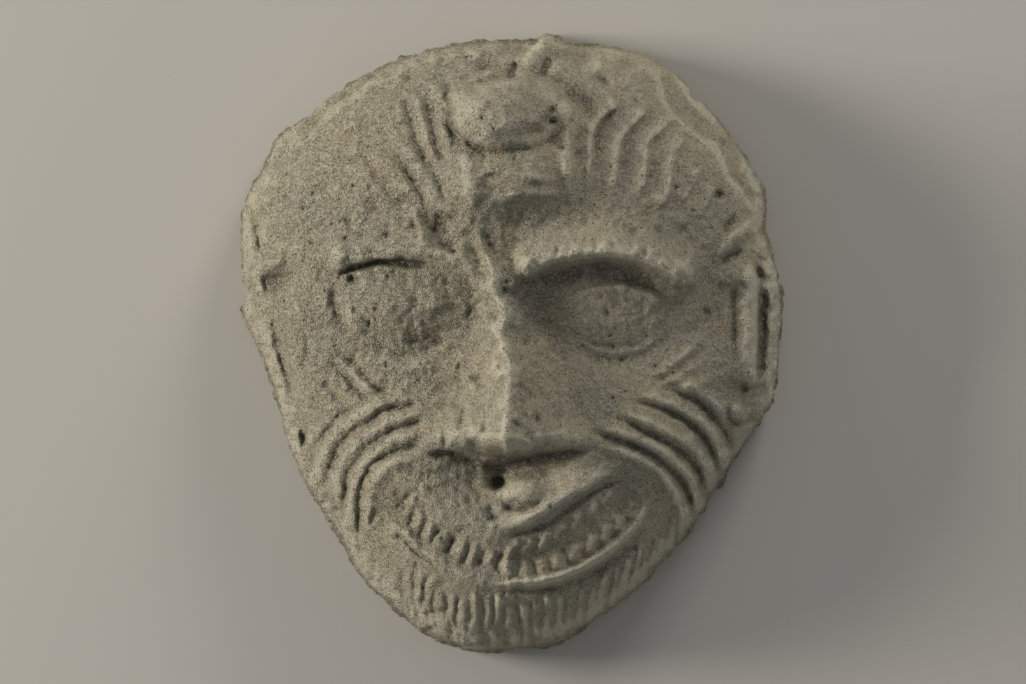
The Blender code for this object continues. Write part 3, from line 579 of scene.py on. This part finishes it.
def worn_skin(face):
    """Sandy clay that weathered most on the left and at the top."""
    x, y = face.x, face.y
    worn = roughness(x, y)
    face.z += 0.3 * lumps(x, y, 7.0, 1) + worn * (0.34 * lumps(x, y, 3.0, 2) + 0.26 * lumps(x, y, 1.6, 3))
    face.z += (0.35 + 0.65 * worn) * (0.19 * lumps(x, y, 0.9, 4) + 0.13 * lumps(x, y, 0.55, 5))
    scatter = np.random.default_rng(5)
    for _ in range(420):
        place, size = scatter.uniform((-43, -50), (43, 50)), scatter.uniform(0.18, 0.48)
        if scatter.uniform() < 0.35 + 0.65 * ease(10, -20, place[0]):
            face.boss(place, (size, size * scatter.uniform(0.6, 1.0)), -scatter.uniform(0.2, 0.6),
                      turn=scatter.uniform(0, 180), power=2.6)


def face_height(x, y):
    """Height of the front of the mask over the floor."""
    out = np.hypot(x, y)
    edge = outline_reach(x, y) * UNIT
    rounded = np.interp(np.arctan2(y, x), COMPASS, ROUND_REACH, period=2 * math.pi) * UNIT
    nearness = np.clip(out / edge, 0, 1) ** 6
    reach = np.clip(out / (rounded + (edge - rounded) * nearness), 0, 1)
    plain = EDGE + RISE * (1 - reach**2.3) ** 0.55
    return np.minimum(plain + UNIT * carve(x / UNIT, y / UNIT) * ease(0, 0.06, 1 - reach), cad_high.z)


def hollow_height(x, y):
    """Height of the hollow's roof, with dents where the clay was thumbed into the mould."""
    reach = np.hypot(x, y) / (outline_reach(x, y) * UNIT - RIM)
    plain = (EDGE + RISE - WALL) * np.clip(1 - reach**2.2, 0, None) ** 0.6
    face = Face(x / UNIT, y / UNIT)
    thumb = np.random.default_rng(11)
    for _ in range(26):
        place = thumb.uniform((-26, -30), (26, 32))
        face.boss(place, thumb.uniform(4.0, 7.0, 2), thumb.uniform(-1.1, 0.9), thumb.uniform(0, 180))
    face.z += 0.3 * lumps(face.x, face.y, 4.0, 12) + 0.15 * lumps(face.x, face.y, 1.5, 13)
    return plain + UNIT * face.z * ease(0, 0.25, 1 - reach)


def chips(x, y, z):
    """How much of the mask's edge is worn away at each place, in hundredths of the height."""
    radius = 42.0
    around = np.arctan2(y, x) * radius
    z = z / UNIT
    return (0.45 + 0.35 * lumps(around, 0.6 * z, 3.6, 21) + 0.4 * lumps(around, z, 1.7, 22)
            + 0.25 * lumps(around, z, 0.7, 23) + 0.7 * ease(0.4, 0.9, lumps(around, 0.5 * z, 2.2, 24)))


def coordinates(data):
    """The mesh's points, one to a row."""
    flat =np.empty(3 * len(data.vertices), np.float32)
    data.vertices.foreach_get("co", flat)
    return flat.reshape(-1, 3).astype(float)


def move_points(data, x, y, z):
    """Moves the mesh's points to new places."""
    data.vertices.foreach_set("co", np.column_stack([x, y, z]).astype(np.float32).ravel())
    data.update()


def net(name, squares, inset):
    """A square net that is rounded to fill the outline, less an inset; gives its object and places."""
    bpy.ops.object.select_all(action="DESELECT")
    bpy.ops.mesh.primitive_grid_add(x_subdivisions=squares, y_subdivisions=squares, size=2)
    piece = bpy.context.object
    piece.name = name
    u, v, _ = coordinates(piece.data).T
    x, y = u * np.sqrt(1 - v * v / 2), v * np.sqrt(1 - u * u / 2)
    reach = outline_reach(x, y) * UNIT - inset
    return piece, x * reach, y * reach


def draw_edge(rows, rise, inset):
    """Extrudes the selected open edge in rows that end at a rise and an inset from where it was."""
    mean_reach = 45 * UNIT
    for _ in range(rows):
        bpy.ops.mesh.extrude_edges_move(TRANSFORM_OT_translate={"value": (0, 0, rise / rows)})
        share = 1 - inset / rows / mean_reach
        bpy.ops.transform.resize(value=(share, share, 1), center_override=(0, 0, 0))


def mask():
    """The whole mask: carved front, worn side, flat rim and thumbed hollow."""
    front, x, y = net("mask_of_clay", FRONT_SQUARES, 0.0)
    move_points(front.data, x, y, face_height(x, y))
    bpy.ops.object.mode_set(mode="EDIT")
    bpy.ops.mesh.select_all(action="SELECT")
    bpy.ops.mesh.region_to_loop()
    draw_edge(SIDE_ROWS, FOOT - EDGE, 0.0)
    draw_edge(BEVEL_ROWS, -FOOT, FOOT)
    draw_edge(BAND_ROWS, 0.0, RIM - 2 * FOOT)
    bpy.ops.object.mode_set(mode="OBJECT")
    x, y, z = coordinates(front.data).T
    nearness = np.clip(np.hypot(x, y) / (outline_reach(x, y) * UNIT), 0, 1)
    away = chips(x, y, z) * UNIT * ease(0.86, 1.0, nearness)
    shrink = 1 - away / np.maximum(np.hypot(x, y), UNIT)
    band = z < 0.1 * FOOT
    z = np.where(band, UNIT * np.clip(0.3 * lumps(x / UNIT, y / UNIT, 2.0, 31) - 0.1, 0.0, None), z)
    move_points(front.data, x * shrink, y * shrink, z)
    back, x, y = net("hollow", BACK_SQUARES, RIM)
    move_points(back.data, x, y, hollow_height(x, y))
    front.select_set(True)
    bpy.context.view_layer.objects.active = front
    bpy.ops.object.join()
    bpy.ops.object.mode_set(mode="EDIT")
    bpy.ops.mesh.select_all(action="DESELECT")
    bpy.ops.mesh.select_non_manifold(extend=False, use_wire=False, use_multi_face=False,
                                     use_non_contiguous=False, use_verts=False)
    bpy.ops.mesh.fill(use_beauty=True)
    bpy.ops.mesh.select_all(action="SELECT")
    bpy.ops.mesh.normals_make_consistent(inside=False)
    bpy.ops.object.mode_set(mode="OBJECT")
    return front


def thin(piece):
    """Fewer triangles, kept where the carving bends, with none under the floor or over the nose's top."""
    count = sum(len(face.vertices) - 2 for face in piece.data.polygons)
    modifier = piece.modifiers.new("thin", "DECIMATE")
    modifier.ratio = MOST_TRIANGLES / count
    bpy.ops.object.modifier_apply(modifier=modifier.name)
    x, y, z = coordinates(piece.data).T
    move_points(piece.data, x, y, np.clip(z, 0, cad_high.z))
    bpy.ops.object.shade_smooth_by_angle(angle=math.radians(55))


def blurred(heights, reach):
    """The heights with each one replaced by the mean round it, three times over."""
    for _ in range(3):
        for axis in (0, 1):
            padded = np.concatenate([np.take(heights, [0] * (reach + 1), axis), heights,
                                     np.take(heights, [-1] * reach, axis)], axis)
            total = np.cumsum(padded, axis)
            size = 2 * reach + 1
            ahead = np.take(total, range(size, total.shape[axis]), axis)
            behind = np.take(total, range(total.shape[axis] - size), axis)
            heights = (ahead - behind) / size
    return heights


def mark_hollows(piece):
    """Stores how far each point lies below the ground near it and further off, which the clay's colour
    turns into painted shade and a painted highlight, and how worn it is.
    """
    step = 0.4 * UNIT
    # A grid a little wider and higher than the mask
    xs = np.arange(-46 * UNIT, 46 * UNIT, step)
    ys = np.arange(-52 * UNIT, 52 * UNIT, step)
    grid_x, grid_y = np.meshgrid(xs, ys, indexing="ij")
    heights = face_height(grid_x.ravel(), grid_y.ravel()).reshape(grid_x.shape)
    x, y, z = coordinates(piece.data).T
    u, v = (x - xs[0]) / step, (y - ys[0]) / step
    i, j = u.astype(int), v.astype(int)
    fu, fv = u - i, v - j
    on_front = z > heights.min() * 0.9
    for name, reach in (("groove", 2), ("sunken", 9)):
        below = (blurred(heights, reach) - heights) / UNIT
        near = below[i, j] * (1 - fu) + below[i + 1, j] * fu
        far = below[i, j + 1] * (1 - fu) + below[i + 1, j + 1] * fu
        value = np.where(on_front, near * (1 - fv) + far * fv, 0.0)
        attribute = piece.data.attributes.new(name, "FLOAT", "POINT")
        attribute.data.foreach_set("value", value.astype(np.float32))
    attribute = piece.data.attributes.new("worn", "FLOAT", "POINT")
    attribute.data.foreach_set("value", roughness(x / UNIT, y / UNIT).astype(np.float32))


def linear(hex_colour):
    """An sRGB hex colour as linear light."""
    parts = [int(hex_colour[k:k + 2], 16) / 255 for k in (1, 3, 5)]
    return tuple(c / 12.92 if c <= 0.04045 else ((c + 0.055) / 1.055) ** 2.4 for c in parts) + (1.0,)


def add(tree, kind, inputs=None, **settings):
    """Adds a node with its settings; an input is a value or another node's output."""
    node = tree.nodes.new(kind)
    for name, value in settings.items():
        setattr(node, name, value)
    for name, value in (inputs or {}).items():
        if isinstance(value, bpy.types.NodeSocket):
            tree.links.new(value, node.inputs[name])
        else:
            node.inputs[name].default_value = value
    return node


def sandy_terracotta():
    """Low-fired buff clay full of sand: matt, with dark grit and dirty pits, painted shade in the furrows
    and low ground, and crests lightened partly as wear and partly as a painted highlight.
    """
    material = bpy.data.materials.new("sandy_terracotta")
    material.use_nodes = True
    tree = material.node_tree
    shader = tree.nodes["Principled BSDF"]
    place = add(tree, "ShaderNodeTexCoord").outputs["Object"]

    # What the clay varies with: clouds of a size in millimetres, the relief stored on the mesh, and grit.
    # Sand finer than 0.28 mm would not show in the picture, so the grit is drawn that coarse.
    sources = {}
    for name, size, detail, rough in (("buff", 14.0, 3.0, 0.6), ("rust", 5.0, 3.0, 0.6),
                                      ("dirt", 9.0, 3.0, 0.6), ("sheen", 2.0, 3.0, 0.6),
                                      ("specks", 0.32, 1.0, 0.6), ("ground", 0.6, 4.0, 0.75)):
        clouds = add(tree, "ShaderNodeTexNoise", {"Vector": place, "Scale": 1 / (size * MILLIMETRE),
                                                  "Detail": detail, "Roughness": rough})
        sources[name] = clouds.outputs["Fac"]
    for name in ("groove", "sunken", "worn"):
        sources[name] = add(tree, "ShaderNodeAttribute", attribute_name=name).outputs["Fac"]
    grit = add(tree, "ShaderNodeTexVoronoi", {"Vector": place, "Scale": 1 / (0.28 * MILLIMETRE)})
    sources["tone"] = add(tree, "ShaderNodeSeparateColor", {"Color": grit.outputs["Color"]}).outputs["Red"]

    # Each layer is absent where its source has the first value, and complete where it has the second
    layers = {}
    # Low ground and furrows are painted shade: the clay is darker where it lies below the ground around it.
    # Crests are lighter, partly as wear and partly as a painted highlight.
    for name, source, none, full in (
            ("yellow patches", "buff", 0.35, 0.65), ("rusty patches", "rust", 0.5, 0.75),
            ("painted shade in low ground", "sunken", 0.2, 2.2), ("furrows", "groove", 0.1, 0.7),
            ("crest wear and painted highlight", "groove", -0.12, -0.55), ("pale grains", "tone", 0.5, 1.1),
            ("dark grains", "tone", 0.32, -0.1), ("pits", "specks", 0.655, 0.72),
            ("dirt", "dirt", 0.3, 0.6), ("sheen", "sheen", -1.5, 1.4)):
        eased = add(tree, "ShaderNodeMapRange", {"Value": sources[source], "From Min": none,
                                                 "From Max": full}, interpolation_type="SMOOTHSTEP")
        layers[name] = eased.outputs["Result"]
    for name, first, second in (("pale sand", layers["pale grains"], sources["worn"]),
                                ("dark sand", layers["dark grains"], sources["worn"]),
                                ("dirty pits", layers["pits"], layers["dirt"])):
        layers[name] = add(tree, "ShaderNodeMath", {0: first, 1: second}, operation="MULTIPLY").outputs[0]

    # The furrows' colour is painted shade in the grooves, the low ground's colour is painted shade in the
    # hollows, and the crests' colour is partly wear and partly a painted highlight.
    clay = linear("#9b9684")
    for name, colour in (("yellow patches", "#a69e86"), ("rusty patches", "#a89880"),
                         ("painted shade in low ground", "#827b69"), ("furrows", "#6e6859"), ("crest wear and painted highlight", "#c5bea8"),
                         ("pale sand", "#c6c0aa"), ("dark sand", "#706b5c"), ("dirty pits", "#524d40")):
        clay = add(tree, "ShaderNodeMix", {0: layers[name], 6: clay, 7: linear(colour)},
                   data_type="RGBA").outputs[2]
    tree.links.new(clay, shader.inputs["Base Color"])
    tree.links.new(layers["sheen"], shader.inputs["Roughness"])
    shader.inputs["IOR"].default_value = 1.5
    shader.inputs["Specular IOR Level"].default_value = 0.3

    # Uneven ground, the grains on it and the pits in it, with their depths in millimetres
    skin = {}
    for height, depth, strength, sunk in ((sources["ground"], 0.34, sources["worn"], False),
                                          (grit.outputs["Distance"], 0.24, sources["worn"], False),
                                          (layers["pits"], 0.2, 1.0, True)):
        bump = add(tree, "ShaderNodeBump", {"Strength": strength, "Distance": depth * MILLIMETRE,
                                            "Height": height, **skin}, invert=sunk)
        skin = {"Normal": bump.outputs["Normal"]}
    tree.links.new(skin["Normal"], shader.inputs["Normal"])
    return material


def pale_floor():
    """A plain matt pale floor."""
    bpy.ops.object.select_all(action="DESELECT")
    bpy.ops.mesh.primitive_plane_add(size=FLOOR_WIDTH)
    floor = bpy.context.object
    floor.name = "floor"
    material = bpy.data.materials.new("pale_floor")
    material.use_nodes = True
    shader = material.node_tree.nodes["Principled BSDF"]
    shader.inputs["Base Color"].default_value = linear("#c9c6bf")
    shader.inputs["Roughness"].default_value = 0.9
    floor.data.materials.append(material)


def lamp(name, towards, size, power, colour):
    """A square soft light that faces the mask."""
    direction = np.array(towards) / np.linalg.norm(towards)
    bpy.ops.object.light_add(type="AREA", location=direction * LAMP_DISTANCE)
    light = bpy.context.object
    light.name = name
    light.rotation_euler = light.location.to_track_quat("Z", "Y").to_euler()
    light.data.size = size
    light.data.energy = power
    light.data.color = linear(colour)[:3]


def studio():
    """Low light from the left and from above the crown, a faint one from the right, and a pale room."""
    lamp("key_light", (-0.92, 0.13, 0.37), 0.28, 6.6, "#fff8ee")
    lamp("top_light", (0.38, 0.85, 0.40), 0.28, 2.6, "#fff8ee")
    lamp("fill_light", (0.92, 0.00, 0.42), 0.40, 0.18, "#f0f4ff")
    world = bpy.data.worlds.new("room")
    bpy.context.scene.world = world
    world.use_nodes = True
    room = world.node_tree.nodes["Background"]
    room.inputs["Color"].default_value = linear("#dfe2e6")
    room.inputs["Strength"].default_value = 0.27
    bpy.context.scene.view_settings.view_transform = "Standard"


def camera():
    """Looks straight down on the mask, from far enough to keep its proportions."""
    x, y, z = CAMERA_AIM
    bpy.ops.object.camera_add(location=(x, y, z + CAMERA_DISTANCE), rotation=(0, 0, 0))
    eye = bpy.context.object
    eye.data.sensor_width = 36.0
    eye.data.lens = eye.data.sensor_width * CAMERA_DISTANCE / PHOTO_WIDTH
    eye.data.clip_end = 10.0
    bpy.context.scene.camera = eye


clay_mask = mask()
thin(clay_mask)
mark_hollows(clay_mask)
clay_mask.data.materials.clear()
clay_mask.data.materials.append(sandy_terracotta())
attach(clay_mask, "root")
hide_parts("mask")
pale_floor()
studio()
camera()
